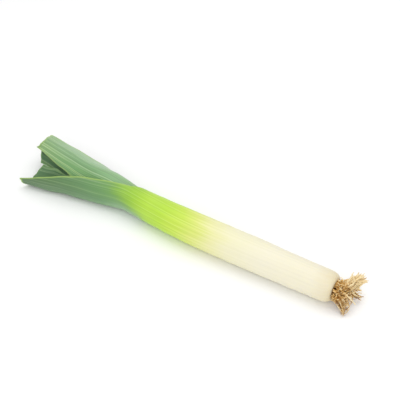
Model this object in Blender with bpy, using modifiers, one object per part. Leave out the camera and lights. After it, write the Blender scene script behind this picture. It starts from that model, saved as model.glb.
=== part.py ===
"""A leek lying on its side: the shank, seven trimmed leaf blades and a tuft of roots.

Metres, +Z up. The shank lies along X with its roots at +X and its leaves at -X.
The origin is the middle of the flat strip that the shank lies on.
"""

import math
import random
from dataclasses import dataclass

import bmesh
import bpy
from mathutils import Matrix, Vector

MM = 0.001

# Shank: the rolled sheaths, from the root end to the throat, where the leaves part.
THROAT = -124.0 * MM
BASE = 121.0 * MM
SHANK_PROFILE = (  # place along X, radius (mm)
    (-124.0, 16.1),
    (-95.0, 16.9),
    (-60.0, 17.8),
    (-10.0, 18.2),
    (25.0, 18.2),
    (60.0, 17.6),
    (90.0, 17.2),
    (112.0, 17.0),
)
SHANK_SIDES = 40
SIDE_ANGLE = 2.0 * math.pi / SHANK_SIDES
REST_ANGLE = 1.5 * SIDE_ANGLE  # the flat strip reaches this far round, either side of the bottom
SHOULDER = 11.0 * MM
SHOULDER_STEPS = 4

# The shank bows sideways towards each end from this place on.
BOW_START = -20.0 * MM
BOW_AT_THROAT = 5.5 * MM
BOW_AT_BASE = 1.6 * MM

# Leaves: they part in one fan, turned up from the ground, in two ranks whose keels face apart.
FAN_TILT = math.radians(43.0)
LEAF_THICKNESS = 1.0 * MM
LEAF_PITCH = 1.9 * MM  # from one rolled sheath to the next
SHEATH_STEP = 6.0 * MM  # each sheath starts this much further out than the one round it
HEART_LINE = (  # past the throat, the middle of the leaves still rolled together (mm):
    (0.0, 0.0, 0.0),  # reach, rise up the fan, lean out of it
    (12.0, 1.4, 0.0),
    (25.0, 3.6, 0.0),
    (45.0, 5.0, 0.0),
    (80.0, 4.4, -0.6),
    (105.0, 4.0, -1.0),
    (155.0, 3.0, -1.5),
)
ROW_CROWDING = 1.4  # above 1, a blade's rows stand closer together near the throat
TOUCH_GAP = 0.3 * MM

# Roots: a disc set into the end of the shank, and the cut roots that grow from it.
RECESS_RADIUS = 10.0 * MM
RECESS_DEPTH = 2.0 * MM
PLATE_SIDES = 24
PLATE_RISE = 1.2 * MM
ROOT_SEED = 28
ROOT_SIDES = 3
ROOT_STEPS = 4
ROOT_RADIUS = 0.9 * MM
ROOT_TIP_RADIUS = 0.5 * MM


@dataclass(frozen=True)
class Station:
    """The section of a blade at one distance past the throat (mm and degrees).

    Spread is how far the keel stands off the shank's line within the fan, and lean how far it
    stands out of the fan towards the front. Flatten turns the round sheath (0) into a fold (1),
    fold is the angle of each half off the middle of the fold, and twist turns the whole section.
    """

    reach: float
    spread: float
    lean: float
    half_width: float
    flatten: float
    fold: float
    twist: float


@dataclass(frozen=True)
class Leaf:
    """A leaf: its rank in the fan, its layer in the shank, its cut end and its sections.

    Rounding is the width of its rounded keel, against its sheath's radius.
    """

    name: str
    rank: int
    layer: int
    cut: tuple  # where the blade ends at its far margin, its keel and its near margin (mm)
    stations: tuple
    rows: int = 13
    columns: int = 10
    rounding: float = 0.45


LEAVES = (
    Leaf("leaf_1", -1, 0, (134.0, 138.5, 143.0), (
        Station(0.3, 16.1, 0.0, 48.5, 0.0, 38.0, 0.0),
        Station(12.0, 16.3, 0.0, 39.0, 0.0, 38.0, 0.0),
        Station(25.0, 19.6, 0.5, 36.0, 0.25, 38.0, 0.0),
        Station(45.0, 24.4, 2.0, 35.0, 0.45, 38.5, 0.5),
        Station(78.0, 28.2, 6.6, 30.0, 0.8, 40.0, 2.0),
        Station(108.0, 32.2, 10.7, 21.0, 1.0, 40.5, 2.5),
        Station(147.0, 36.8, 16.2, 8.0, 1.0, 40.5, 2.5),
    )),
    Leaf("leaf_2", 1, 1, (142.0, 138.0, 147.5), (
        Station(6.3, 10.6, 9.5, 44.3, 0.0, 45.0, 42.0),
        Station(22.0, 10.4, 10.3, 36.0, 0.0, 46.0, 45.0),
        Station(36.0, 11.0, 11.3, 30.5, 0.1, 47.0, 48.0),
        Station(50.0, 11.8, 12.0, 29.0, 0.5, 48.0, 51.0),
        Station(64.0, 12.2, 12.0, 27.0, 0.85, 48.0, 54.0),
        Station(80.0, 13.7, 11.8, 24.6, 1.0, 48.0, 56.0),
        Station(97.0, 16.3, 11.6, 22.4, 1.0, 47.0, 57.5),
        Station(117.0, 19.4, 11.5, 20.0, 1.0, 45.0, 59.5),
        Station(137.0, 22.4, 11.7, 17.6, 1.0, 43.0, 62.0),
        Station(150.0, 24.4, 11.8, 16.0, 1.0, 41.7, 63.6),
    ), rounding=0.2),
    Leaf("leaf_3", -1, 2, (129.5, 135.5, 127.5), (
        Station(12.3, 12.3, 0.0, 38.3, 0.0, 20.0, 0.0),
        Station(42.0, 12.3, 0.0, 28.0, 0.0, 20.0, 0.0),
        Station(60.0, 14.2, 0.5, 20.8, 0.25, 19.0, 5.0),
        Station(80.0, 18.4, 2.6, 17.4, 0.9, 18.0, 12.0),
        Station(100.0, 22.0, 3.0, 16.2, 1.0, 18.0, 12.0),
        Station(116.0, 24.4, 5.4, 19.8, 1.0, 18.0, 12.0),
        Station(135.0, 26.6, 8.4, 20.5, 1.0, 18.0, 12.0),
    ), rows=12, columns=9),
    Leaf("leaf_4", 1, 3, (137.0, 146.0, 137.0), (
        Station(18.3, 7.4, 7.4, 32.3, 0.0, 48.0, 45.0),
        Station(42.0, 7.4, 7.4, 25.0, 0.0, 48.0, 45.0),
        Station(54.0, 7.4, 7.4, 20.5, 0.0, 48.0, 46.0),
        Station(62.0, 7.2, 7.0, 20.0, 0.4, 48.0, 49.0),
        Station(80.0, 5.1, 4.1, 19.0, 0.9, 52.0, 54.0),
        Station(105.0, 10.0, 4.0, 20.5, 1.0, 52.0, 54.0),
        Station(148.0, 17.0, 3.2, 22.0, 1.0, 52.0, 54.0),
    ), rows=12, columns=9),
    Leaf("leaf_5", -1, 4, (116.0, 119.0, 108.0), (
        Station(24.3, 8.5, 0.0, 26.4, 0.0, 14.0, 0.0),
        Station(50.0, 8.5, 0.0, 20.0, 0.0, 14.0, 0.0),
        Station(62.0, 8.8, 0.0, 16.5, 0.35, 14.0, 6.0),
        Station(80.0, 10.9, 0.1, 14.0, 0.9, 14.0, 11.0),
        Station(122.0, 14.0, 0.2, 13.0, 1.0, 14.0, 11.0),
    ), rows=11, columns=8),
    Leaf("leaf_6", 1, 5, (124.0, 128.0, 120.0), (
        Station(30.3, 4.7, 4.7, 20.4, 0.0, 50.0, 45.0),
        Station(50.0, 4.7, 4.7, 12.5, 0.0, 50.0, 45.0),
        Station(58.0, 4.6, 3.9, 11.0, 0.2, 50.0, 47.0),
        Station(67.0, 4.3, 2.4, 10.0, 0.5, 50.0, 50.0),
        Station(82.0, 3.5, -0.6, 11.0, 1.0, 52.0, 54.0),
        Station(128.0, 8.0, -1.8, 12.0, 1.0, 52.0, 54.0),
    ), rows=11, columns=8),
    Leaf("leaf_7", -1, 6, (111.0, 115.0, 112.0), (
        Station(36.3, 4.7, 0.0, 14.5, 0.0, 8.0, 0.0),
        Station(54.0, 4.7, 0.0, 11.0, 0.0, 8.0, 0.0),
        Station(67.0, 4.6, -1.5, 9.0, 0.45, 8.0, 7.0),
        Station(80.0, 4.2, -2.8, 8.0, 0.9, 8.0, 12.0),
        Station(116.0, 2.6, -3.6, 7.5, 1.0, 8.0, 12.0),
    ), rows=9, columns=7),
)


@dataclass(frozen=True)
class Clump:
    """Roots that run together: their tip from the middle of the plate, their number and spread."""

    tip: tuple
    count: int
    spread: float
    shortest: float


CLUMPS = (
    Clump((19.5, -15.0, -14.5), 10, 2.4, 0.8),
    Clump((23.0, 29.0, 0.5), 10, 3.0, 0.8),
    Clump((27.0, 13.0, -8.0), 9, 2.8, 0.8),
    Clump((15.0, 13.0, 16.0), 6, 4.0, 0.75),
    Clump((20.0, -4.0, 1.0), 7, 5.0, 0.7),
    Clump((13.0, -17.0, 3.0), 6, 3.0, 0.7),
)


def smooth(places, values, at):
    """A smooth curve through the values at the given places (cubic, with no overshoot)."""
    at = min(max(at, places[0]), places[-1])
    slopes = [(values[i + 1] - values[i]) / (places[i + 1] - places[i]) for i in range(len(places) - 1)]
    tangents = [slopes[0]]
    for before, after in zip(slopes, slopes[1:]):
        tangents.append(2.0 * before * after / (before + after) if before * after > 0.0 else 0.0)
    tangents.append(slopes[-1])
    i = max(k for k in range(len(slopes)) if places[k] <= at)
    span = places[i + 1] - places[i]
    t = (at - places[i]) / span
    return (values[i] * (1 + 2 * t) * (1 - t) ** 2 + values[i + 1] * t * t * (3 - 2 * t)
            + span * t * (1 - t) * (tangents[i] * (1 - t) - tangents[i + 1] * t))


def shank_radius(x):
    """The shank's radius at a place along X."""
    return smooth([p[0] for p in SHANK_PROFILE], [p[1] for p in SHANK_PROFILE], x / MM) * MM


def shank_centre(x):
    """The middle of the shank at a place along X: bowed sideways, and as high as its flat asks."""
    if x < BOW_START:
        aside = BOW_AT_THROAT * ((x - BOW_START) / (THROAT - BOW_START)) ** 2
    else:
        aside = BOW_AT_BASE * ((x - BOW_START) / (BASE - BOW_START)) ** 2
    return Vector((x, aside, shank_radius(x) * math.cos(REST_ANGLE)))


def fan_directions():
    """Outward along the blades, up across the fan, and out of the fan to the front."""
    outward = Vector((-1.0, 0.0, 0.0))
    upward = Vector((0.0, math.cos(FAN_TILT), math.sin(FAN_TILT)))
    frontward = Vector((0.0, -math.sin(FAN_TILT), math.cos(FAN_TILT)))
    return outward, upward, frontward


def heart(reach):
    """The middle of the leaves still rolled together, at this distance past the throat."""
    outward, upward, frontward = fan_directions()
    places = [point[0] for point in HEART_LINE]
    rise = smooth(places, [point[1] for point in HEART_LINE], reach / MM) * MM
    lean = smooth(places, [point[2] for point in HEART_LINE], reach / MM) * MM
    return shank_centre(THROAT) + outward * reach + upward * rise + frontward * lean


def sheath_radius(layer):
    """The outer radius of a rolled sheath; layer 0 is the outermost."""
    return SHANK_PROFILE[0][1] * MM - layer * LEAF_PITCH


def add_object(name, mesh, collection):
    """Put a mesh in the scene as a named object."""
    mesh.name = name
    thing = bpy.data.objects.new(name, mesh)
    collection.objects.link(thing)
    return thing


def make_material(name, colour, roughness):
    """A plain surface of one colour."""
    material = bpy.data.materials.new(name)
    material.use_nodes = True
    shader = material.node_tree.nodes["Principled BSDF"]
    shader.inputs["Base Color"].default_value = (*colour, 1.0)
    shader.inputs["Roughness"].default_value = roughness
    shader.inputs["Metallic"].default_value = 0.0
    return material


def shank_profile():
    """The shank's half outline as radius and place along X, from the root end to the throat.

    Past the throat it steps down inside the rolled sheaths of the leaves.
    """
    points = [(0.0, BASE - RECESS_DEPTH), (RECESS_RADIUS, BASE - RECESS_DEPTH), (RECESS_RADIUS, BASE)]
    rim = shank_radius(BASE)
    for step in range(SHOULDER_STEPS + 1):
        angle = 0.5 * math.pi * step / SHOULDER_STEPS
        narrow = (rim - RECESS_RADIUS - 0.8 * MM) * (1.0 - math.sin(angle))
        points.append((rim - narrow, BASE - SHOULDER * (1.0 - math.cos(angle))))
    for place, radius in reversed(SHANK_PROFILE[:-1]):
        points.append((radius * MM, place * MM))
    for layer in range(1, len(LEAVES) + 1):
        near = THROAT - SHEATH_STEP * (layer - 1)
        points.append((sheath_radius(layer), near))
        points.append((sheath_radius(layer), near - SHEATH_STEP))
    points.append((0.0, THROAT - SHEATH_STEP * len(LEAVES)))
    return points


def turned_mesh(name, profile, sides):
    """A solid turned round Z from a profile of radius and height, as a mesh."""
    mesh = bpy.data.meshes.new(name)
    mesh.from_pydata([(radius, 0.0, height) for radius, height in profile],
                     [(i, i + 1) for i in range(len(profile) - 1)], [])
    thing = add_object(name, mesh, bpy.context.scene.collection)
    screw = thing.modifiers.new("turn", "SCREW")
    screw.steps = screw.render_steps = sides
    screw.use_merge_vertices = True
    screw.merge_threshold = 0.00001
    turned = bpy.data.meshes.new_from_object(thing.evaluated_get(bpy.context.evaluated_depsgraph_get()))
    bpy.data.objects.remove(thing, do_unlink=True)
    return turned


def build_shank(collection):
    """The shank: turned, laid along X, bowed, and flattened a little where it lies."""
    mesh = turned_mesh("shank_outline", shank_profile(), SHANK_SIDES)
    half_side = Matrix.Rotation(0.5 * SIDE_ANGLE, 3, "Z")
    for vertex in mesh.vertices:
        ring = half_side @ vertex.co
        past_throat = THROAT - vertex.co.z
        centre = heart(past_throat) if past_throat > 0.0 else shank_centre(vertex.co.z)
        vertex.co = centre + Vector((0.0, ring.x, ring.y))
        vertex.co.z = max(vertex.co.z, 0.0)
    shank = add_object("shank", mesh, collection)
    mesh.shade_smooth()
    mesh.set_sharp_from_angle(angle=math.radians(40.0))
    mesh.materials.append(make_material("pale shank", (0.86, 0.83, 0.62), 0.4))
    return shank


def section_point(leaf, station, distance):
    """Where the leaf's section is at this distance across the blade from its keel.

    Returns how far it is to the side of the keel and how far inward from it.
    """
    radius = sheath_radius(leaf.layer)
    steps = 24
    part = abs(distance) / steps
    turn = math.radians(90.0 - station.fold)
    aside = inward = 0.0
    for k in range(steps):
        along = (k + 0.5) * part
        rise = min(along / (leaf.rounding * radius), 1.0)
        folded = turn * rise * rise * (3.0 - 2.0 * rise)
        angle = (1.0 - station.flatten) * along / radius + station.flatten * folded
        aside += math.cos(angle) * part
        inward += math.sin(angle) * part
    return math.copysign(aside, distance), inward


def section_at(leaf, reach):
    """The leaf's section at any distance past the throat, with its lengths in metres."""
    places = [station.reach for station in leaf.stations]

    def value(field):
        return smooth(places, [getattr(station, field) for station in leaf.stations], reach / MM)

    return Station(reach, value("spread") * MM, value("lean") * MM, value("half_width") * MM,
                   value("flatten"), value("fold"), value("twist"))


def leaf_point(leaf, reach, across):
    """A point of the leaf's outer face; across runs from -1 at the far margin to 1 at the near.

    What would reach below the ground is pressed flat on it.
    """
    _, upward, frontward = fan_directions()
    station = section_at(leaf, reach)
    aside, inward = section_point(leaf, station, across * station.half_width)
    rankward = upward * leaf.rank
    twist = math.radians(station.twist)
    keelward = rankward * math.cos(twist) + frontward * math.sin(twist)
    sideward = frontward * math.cos(twist) - rankward * math.sin(twist)
    keel = heart(reach) + rankward * station.spread + frontward * station.lean
    point = keel + sideward * aside - keelward * inward
    point.z = max(point.z, 0.0)
    return point


def build_leaf(leaf, collection, material):
    """A leaf: a sheet lofted from its rolled sheath to its folded blade, then given its thickness."""
    far, keel, near = leaf.cut
    start = leaf.stations[0].reach * MM
    mesh = bpy.data.meshes.new(leaf.name)
    bm = bmesh.new()
    grid = []
    for row in range(leaf.rows + 1):
        line = []
        for column in range(-leaf.columns, leaf.columns + 1):
            fraction = column / leaf.columns
            across = math.copysign(abs(fraction) ** 1.2, fraction)
            end = (keel + (near - keel) * max(across, 0.0) + (far - keel) * max(-across, 0.0)) * MM
            reach = start + (end - start) * (row / leaf.rows) ** ROW_CROWDING
            line.append(bm.verts.new(leaf_point(leaf, reach, across)))
        grid.append(line)
    for inner, outer in zip(grid, grid[1:]):
        for k in range(len(inner) - 1):
            corners = [inner[k], inner[k + 1], outer[k + 1], outer[k]]
            if leaf.rank > 0:
                corners.reverse()
            bm.faces.new(corners[:3])
            bm.faces.new((corners[0], corners[2], corners[3]))
    bm.to_mesh(mesh)
    bm.free()
    mesh.shade_smooth()
    mesh.materials.append(material)
    blade = add_object(leaf.name, mesh, collection)
    wall = blade.modifiers.new("thickness", "SOLIDIFY")
    wall.thickness = LEAF_THICKNESS
    wall.offset = -1.0
    return blade


def root_path(start, tip, lift):
    """Points along a root: it leaves the plate square to it, then bends towards its tip."""
    bend = start + Vector((lift, 0.0, 0.0)) + 0.25 * Vector((0.0, tip.y - start.y, tip.z - start.z))
    points = []
    for step in range(ROOT_STEPS + 1):
        t = step / ROOT_STEPS
        points.append(start * (1 - t) ** 2 + bend * 2 * t * (1 - t) + tip * t * t)
    return points


def root_mesh(name, points, turn):
    """A tapered root of a few sides along its points, closed at both ends."""
    mesh = bpy.data.meshes.new(name)
    bm = bmesh.new()
    rings = []
    for k, point in enumerate(points):
        ahead = points[min(k + 1, len(points) - 1)] - points[max(k - 1, 0)]
        side = ahead.cross(Vector((0.3, 0.2, 1.0))).normalized()
        other = ahead.normalized().cross(side)
        radius = ROOT_RADIUS + (ROOT_TIP_RADIUS - ROOT_RADIUS) * k / (len(points) - 1)
        ring = []
        for corner in range(ROOT_SIDES):
            angle = turn + 2.0 * math.pi * corner / ROOT_SIDES
            ring.append(bm.verts.new(point + (side * math.cos(angle) + other * math.sin(angle)) * radius))
        rings.append(ring)
    for near, far in zip(rings, rings[1:]):
        for k in range(ROOT_SIDES):
            after = (k + 1) % ROOT_SIDES
            bm.faces.new((near[k], near[after], far[after], far[k]))
    bm.faces.new(rings[0][::-1])
    bm.faces.new(rings[-1])
    bm.to_mesh(mesh)
    bm.free()
    return mesh


def build_root_tuft(collection):
    """The root plate and its roots, joined into one solid."""
    draw = random.Random(ROOT_SEED)
    middle = shank_centre(BASE)
    strands = bpy.data.collections.new("roots to join")
    bpy.context.scene.collection.children.link(strands)

    plate_mesh = bpy.data.meshes.new("root_tuft")
    bm = bmesh.new()
    depth = RECESS_DEPTH - TOUCH_GAP + PLATE_RISE
    bmesh.ops.create_cone(bm, cap_ends=True, segments=PLATE_SIDES, radius1=RECESS_RADIUS - TOUCH_GAP,
                          radius2=RECESS_RADIUS - 1.5 * MM, depth=depth)
    bmesh.ops.rotate(bm, verts=bm.verts, matrix=Matrix.Rotation(math.radians(90.0), 3, "Y"))
    shift = Vector((PLATE_RISE - 0.5 * depth, 0.0, 0.0))
    bmesh.ops.translate(bm, verts=bm.verts, vec=middle + shift)
    bm.to_mesh(plate_mesh)
    bm.free()
    tuft = add_object("root_tuft", plate_mesh, collection)

    count = 0
    for clump in CLUMPS:
        for _ in range(clump.count):
            angle = draw.uniform(0.0, 2.0 * math.pi)
            off = (RECESS_RADIUS - 2.6 * MM) * math.sqrt(draw.random())
            start = Vector((-0.6 * MM, off * math.cos(angle), off * math.sin(angle)))
            wander = Vector([draw.gauss(0.0, clump.spread) * MM for _ in range(3)])
            tip = Vector(clump.tip) * MM * draw.uniform(clump.shortest, 1.0) + wander
            tip.x = max(tip.x, 5.0 * MM)
            tip.z = max(tip.z, 1.2 * MM - middle.z)
            points = [middle + p for p in root_path(start, tip, draw.uniform(6.0, 11.0) * MM)]
            mesh = root_mesh(f"root_{count}", points, draw.uniform(0.0, math.pi))
            add_object(f"root_{count}", mesh, strands)
            count += 1

    union = tuft.modifiers.new("join roots", "BOOLEAN")
    union.operation = "UNION"
    union.operand_type = "COLLECTION"
    union.collection = strands
    union.solver = "MANIFOLD"
    joined = bpy.data.meshes.new_from_object(tuft.evaluated_get(bpy.context.evaluated_depsgraph_get()))
    tuft.modifiers.remove(union)
    tuft.data = joined
    for thing in list(strands.objects):
        bpy.data.objects.remove(thing, do_unlink=True)
    bpy.data.collections.remove(strands)
    joined.materials.append(make_material("straw roots", (0.68, 0.53, 0.3), 0.8))
    return tuft


def main():
    for thing in list(bpy.data.objects):
        bpy.data.objects.remove(thing, do_unlink=True)
    collection = bpy.data.collections.new("leek")
    bpy.context.scene.collection.children.link(collection)
    build_shank(collection)
    green = make_material("green blade", (0.25, 0.42, 0.25), 0.5)
    for leaf in LEAVES:
        build_leaf(leaf, collection, green)
    build_root_tuft(collection)


main()
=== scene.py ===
"""A leek lying on its side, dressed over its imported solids.

Metres, +Z up. The shank lies along X with its roots at +X and its leaves at -X, and the origin is
the middle of the strip that the shank lies on. The forms below are worked out in millimetres, from
the same sizes as the solids, and are turned into metres where a mesh is made.
"""

import logging
import math
from dataclasses import dataclass, fields, replace
from enum import Enum
from typing import Mapping, Sequence

import bpy
import numpy as np
from mathutils import Matrix, Vector

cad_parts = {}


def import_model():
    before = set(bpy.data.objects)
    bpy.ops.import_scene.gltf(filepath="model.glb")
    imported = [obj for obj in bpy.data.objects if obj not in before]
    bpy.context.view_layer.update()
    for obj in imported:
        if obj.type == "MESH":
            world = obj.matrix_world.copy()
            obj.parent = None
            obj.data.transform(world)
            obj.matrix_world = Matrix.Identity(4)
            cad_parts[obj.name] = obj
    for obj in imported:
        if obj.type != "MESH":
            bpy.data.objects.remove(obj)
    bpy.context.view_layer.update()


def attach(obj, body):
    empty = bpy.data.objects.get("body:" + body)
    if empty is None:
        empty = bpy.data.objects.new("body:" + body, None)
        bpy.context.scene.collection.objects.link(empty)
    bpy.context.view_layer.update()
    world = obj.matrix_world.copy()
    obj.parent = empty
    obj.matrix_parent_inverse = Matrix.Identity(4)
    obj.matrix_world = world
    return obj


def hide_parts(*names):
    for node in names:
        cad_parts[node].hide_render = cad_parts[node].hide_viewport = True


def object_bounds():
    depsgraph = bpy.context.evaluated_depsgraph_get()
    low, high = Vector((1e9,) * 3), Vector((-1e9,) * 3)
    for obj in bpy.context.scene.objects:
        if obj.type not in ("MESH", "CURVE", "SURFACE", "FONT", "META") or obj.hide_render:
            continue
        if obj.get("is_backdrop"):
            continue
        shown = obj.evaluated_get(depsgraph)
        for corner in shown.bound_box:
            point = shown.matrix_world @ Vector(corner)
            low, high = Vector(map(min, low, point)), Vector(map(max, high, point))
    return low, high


LOG = logging.getLogger("leek")
MM = 0.001
BODY = "root"
FULL_TURN = 2.0 * math.pi
ALONG = np.array([1.0, 0.0, 0.0])  # along the leek, towards its roots
ASIDE = np.array([0.0, 1.0, 1.0])  # what a point keeps when its place along X is dropped
NO_EDGE = 1000.0  # stored where no free edge is near, in millimetres
SHARP = math.radians(50.0)  # faces that meet at a wider turn than this meet in a sharp edge

Triple = tuple[float, float, float]
Colour = Triple
Socket = bpy.types.NodeSocket
Value = Socket | float | int | str | Colour


class Slot(Enum):
    """The record's material slots."""

    SHANK = "shank"
    BLADE = "blade"
    ROOTS = "roots"


class Rank(Enum):
    """The two ranks of a leek's leaves, by the side of the fan that their keels face."""

    LOWER = -1
    UPPER = 1


# --------------------------------------------------------------------------------------------
# Forms
# --------------------------------------------------------------------------------------------


class Curve:
    """A smooth curve through values at rising places (cubic, with no overshoot)."""

    def __init__(self, places: Sequence[float], values: Sequence[float]) -> None:
        """Work out the curve's slopes.

        Args:
            places: where the values are, in rising order.
            values: the values there.
        """
        self.places = np.asarray(places, dtype=float)
        self.values = np.asarray(values, dtype=float)
        slopes = np.diff(self.values) / np.diff(self.places)
        before, after = slopes[:-1], slopes[1:]
        same_way = before * after > 0.0
        total = np.where(same_way, before + after, 1.0)
        inner = np.where(same_way, 2.0 * before * after / total, 0.0)
        self.tangents = np.concatenate(([slopes[0]], inner, [slopes[-1]]))

    def __call__(self, at: np.ndarray | float) -> np.ndarray:
        """The curve's value at one place or many.

        Args:
            at: the places asked for.

        Returns:
            The values there; beyond either end, the value at that end.
        """
        at = np.clip(at, self.places[0], self.places[-1])
        i = np.clip(np.searchsorted(self.places, at, side="right") - 1, 0, len(self.places) - 2)
        span = self.places[i + 1] - self.places[i]
        t = (at - self.places[i]) / span
        return (self.values[i] * (1 + 2 * t) * (1 - t) ** 2 + self.values[i + 1] * t * t * (3 - 2 * t)
                + span * t * (1 - t) * (self.tangents[i] * (1 - t) - self.tangents[i + 1] * t))


def waves(u: np.ndarray, v: np.ndarray | float, seed: int, count: int = 7) -> np.ndarray:
    """Smooth random waves over two directions, mostly between -1 and 1.

    Args:
        u: place in the first direction, in wavelengths.
        v: place in the second direction, in wavelengths.
        seed: which pattern to make.
        count: how many plain waves are added up.

    Returns:
        The height of the waves at every place.
    """
    draw = np.random.default_rng(seed)
    total = np.zeros(np.broadcast(u, v).shape)
    for _ in range(count):
        along = draw.uniform(0.5, 1.5)
        aside = draw.uniform(-1.2, 1.2)
        shift = draw.uniform(0.0, FULL_TURN)
        total = total + np.sin(FULL_TURN * (along * u + aside * v) + shift)
    return total / math.sqrt(count)


@dataclass(frozen=True)
class ShankForm:
    """The shank's outline, in millimetres.

    Args:
        throat: place along X where the leaves part.
        base: place along X of the root end.
        profile: places along X and the radius there.
        rest_angle: how far the flat strip reaches round from the bottom, in radians.
        shoulder: how long the rounding at the root end is.
        recess_radius: radius of the hollow that the root disc sits in.
        recess_depth: depth of that hollow.
        lip: width of the flat rim round that hollow.
        bow_start: place along X from which the shank bows sideways, both ways.
        bow_throat: how far aside it is at the throat.
        bow_base: how far aside it is at the root end.
    """

    throat: float = -124.0
    base: float = 121.0
    profile: tuple[tuple[float, float], ...] = (
        (-124.0, 16.1), (-95.0, 16.9), (-60.0, 17.8), (-10.0, 18.2),
        (25.0, 18.2), (60.0, 17.6), (90.0, 17.2), (112.0, 17.0))
    rest_angle: float = math.radians(13.5)
    shoulder: float = 11.0
    recess_radius: float = 10.0
    recess_depth: float = 2.0
    lip: float = 0.8
    bow_start: float = -20.0
    bow_throat: float = 5.5
    bow_base: float = 1.6

    def radius(self, x: np.ndarray | float) -> np.ndarray:
        """The radius at a place along X."""
        return Curve(*zip(*self.profile))(x)

    def centre(self, x: np.ndarray) -> np.ndarray:
        """The middle of the shank at places along X.

        Args:
            x: the places.

        Returns:
            One row of X, Y and Z for each.
        """
        to_throat = self.bow_throat * ((x - self.bow_start) / (self.throat - self.bow_start)) ** 2
        to_base = self.bow_base * ((x - self.bow_start) / (self.base - self.bow_start)) ** 2
        aside = np.where(x < self.bow_start, to_throat, to_base)
        return np.stack([x, aside, self.radius(x) * math.cos(self.rest_angle)], axis=-1)

    def root_end(self) -> np.ndarray:
        """The middle of the shank where the roots grow from it."""
        return self.centre(np.array([self.base]))[0]


@dataclass(frozen=True)
class FanForm:
    """The fan that the leaves part in, turned up from the ground.

    Args:
        shank: the shank that the leaves grow from.
        tilt: the fan's slope from the ground, in radians.
        heart_line: reach past the throat, rise up the fan and lean out of it, in millimetres.
        pitch: from one rolled sheath to the next.
    """

    shank: ShankForm = ShankForm()
    tilt: float = math.radians(43.0)
    heart_line: tuple[Triple, ...] = (
        (0.0, 0.0, 0.0), (12.0, 1.4, 0.0), (25.0, 3.6, 0.0), (45.0, 5.0, 0.0),
        (80.0, 4.4, -0.6), (105.0, 4.0, -1.0), (155.0, 3.0, -1.5))
    pitch: float = 1.9

    @property
    def upward(self) -> np.ndarray:
        """The direction up across the fan."""
        return np.array([0.0, math.cos(self.tilt), math.sin(self.tilt)])

    @property
    def frontward(self) -> np.ndarray:
        """The direction out of the fan, to the front."""
        return np.array([0.0, -math.sin(self.tilt), math.cos(self.tilt)])

    def heart(self, reach: np.ndarray) -> np.ndarray:
        """The middle of the leaves that are still rolled together.

        Args:
            reach: distances past the throat; below 0 they are inside the shank.

        Returns:
            One row of X, Y and Z for each.
        """
        places, rises, leans = zip(*self.heart_line)
        rise, lean = Curve(places, rises)(reach)[:, None], Curve(places, leans)(reach)[:, None]
        inside = self.shank.centre(self.shank.throat - np.minimum(reach, 0.0))
        past = np.maximum(reach, 0.0)[:, None] * ALONG
        return inside - past + rise * self.upward + lean * self.frontward


@dataclass(frozen=True)
class Sections:
    """A leaf's sections along its length, one entry of each array for each row of its mesh.

    Args:
        centre: the middle that the section is set out from.
        radius: the radius of the rolled sheath.
        spread: how far the keel stands off the middle within the fan.
        lean: how far it stands out of the fan.
        half_width: from the keel to either margin.
        flatten: 0 for a round sheath and 1 for a fold.
        fold: angle of each half off the middle of the fold, in degrees.
        twist: turn of the whole section, in degrees.
    """

    centre: np.ndarray
    radius: np.ndarray
    spread: np.ndarray
    lean: np.ndarray
    half_width: np.ndarray
    flatten: np.ndarray
    fold: np.ndarray
    twist: np.ndarray

    def joined(self, other: "Sections") -> "Sections":
        """These sections followed by the other's."""
        names = [field.name for field in fields(self)]
        return Sections(*(np.concatenate([getattr(self, name), getattr(other, name)]) for name in names))


@dataclass(frozen=True)
class LeafForm:
    """A leaf's own sizes, in millimetres and degrees.

    Args:
        name: its node.
        rank: its rank in the fan.
        layer: its layer in the shank, 0 the outermost.
        cut: where the blade ends at its far margin, its keel and its near margin.
        stations: reach past the throat, spread, lean, half width, flatten, fold and twist.
        rounding: width of the rounded keel, against its sheath's radius.
    """

    name: str
    rank: Rank
    layer: int
    cut: Triple
    stations: tuple[tuple[float, float, float, float, float, float, float], ...]
    rounding: float = 0.45

    def sheath_radius(self, fan: FanForm) -> float:
        """The radius of its rolled sheath."""
        return fan.shank.profile[0][1] - self.layer * fan.pitch

    def sections(self, fan: FanForm, reach: np.ndarray) -> Sections:
        """The leaf's sections at these distances past the throat.

        Args:
            fan: the fan that it parts in.
            reach: the distances.

        Returns:
            A section for each distance.
        """
        places, *columns = zip(*self.stations)
        radius = np.full(reach.shape, self.sheath_radius(fan))
        values = [Curve(places, column)(reach) for column in columns]
        return Sections(fan.heart(reach), radius, *values)


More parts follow.
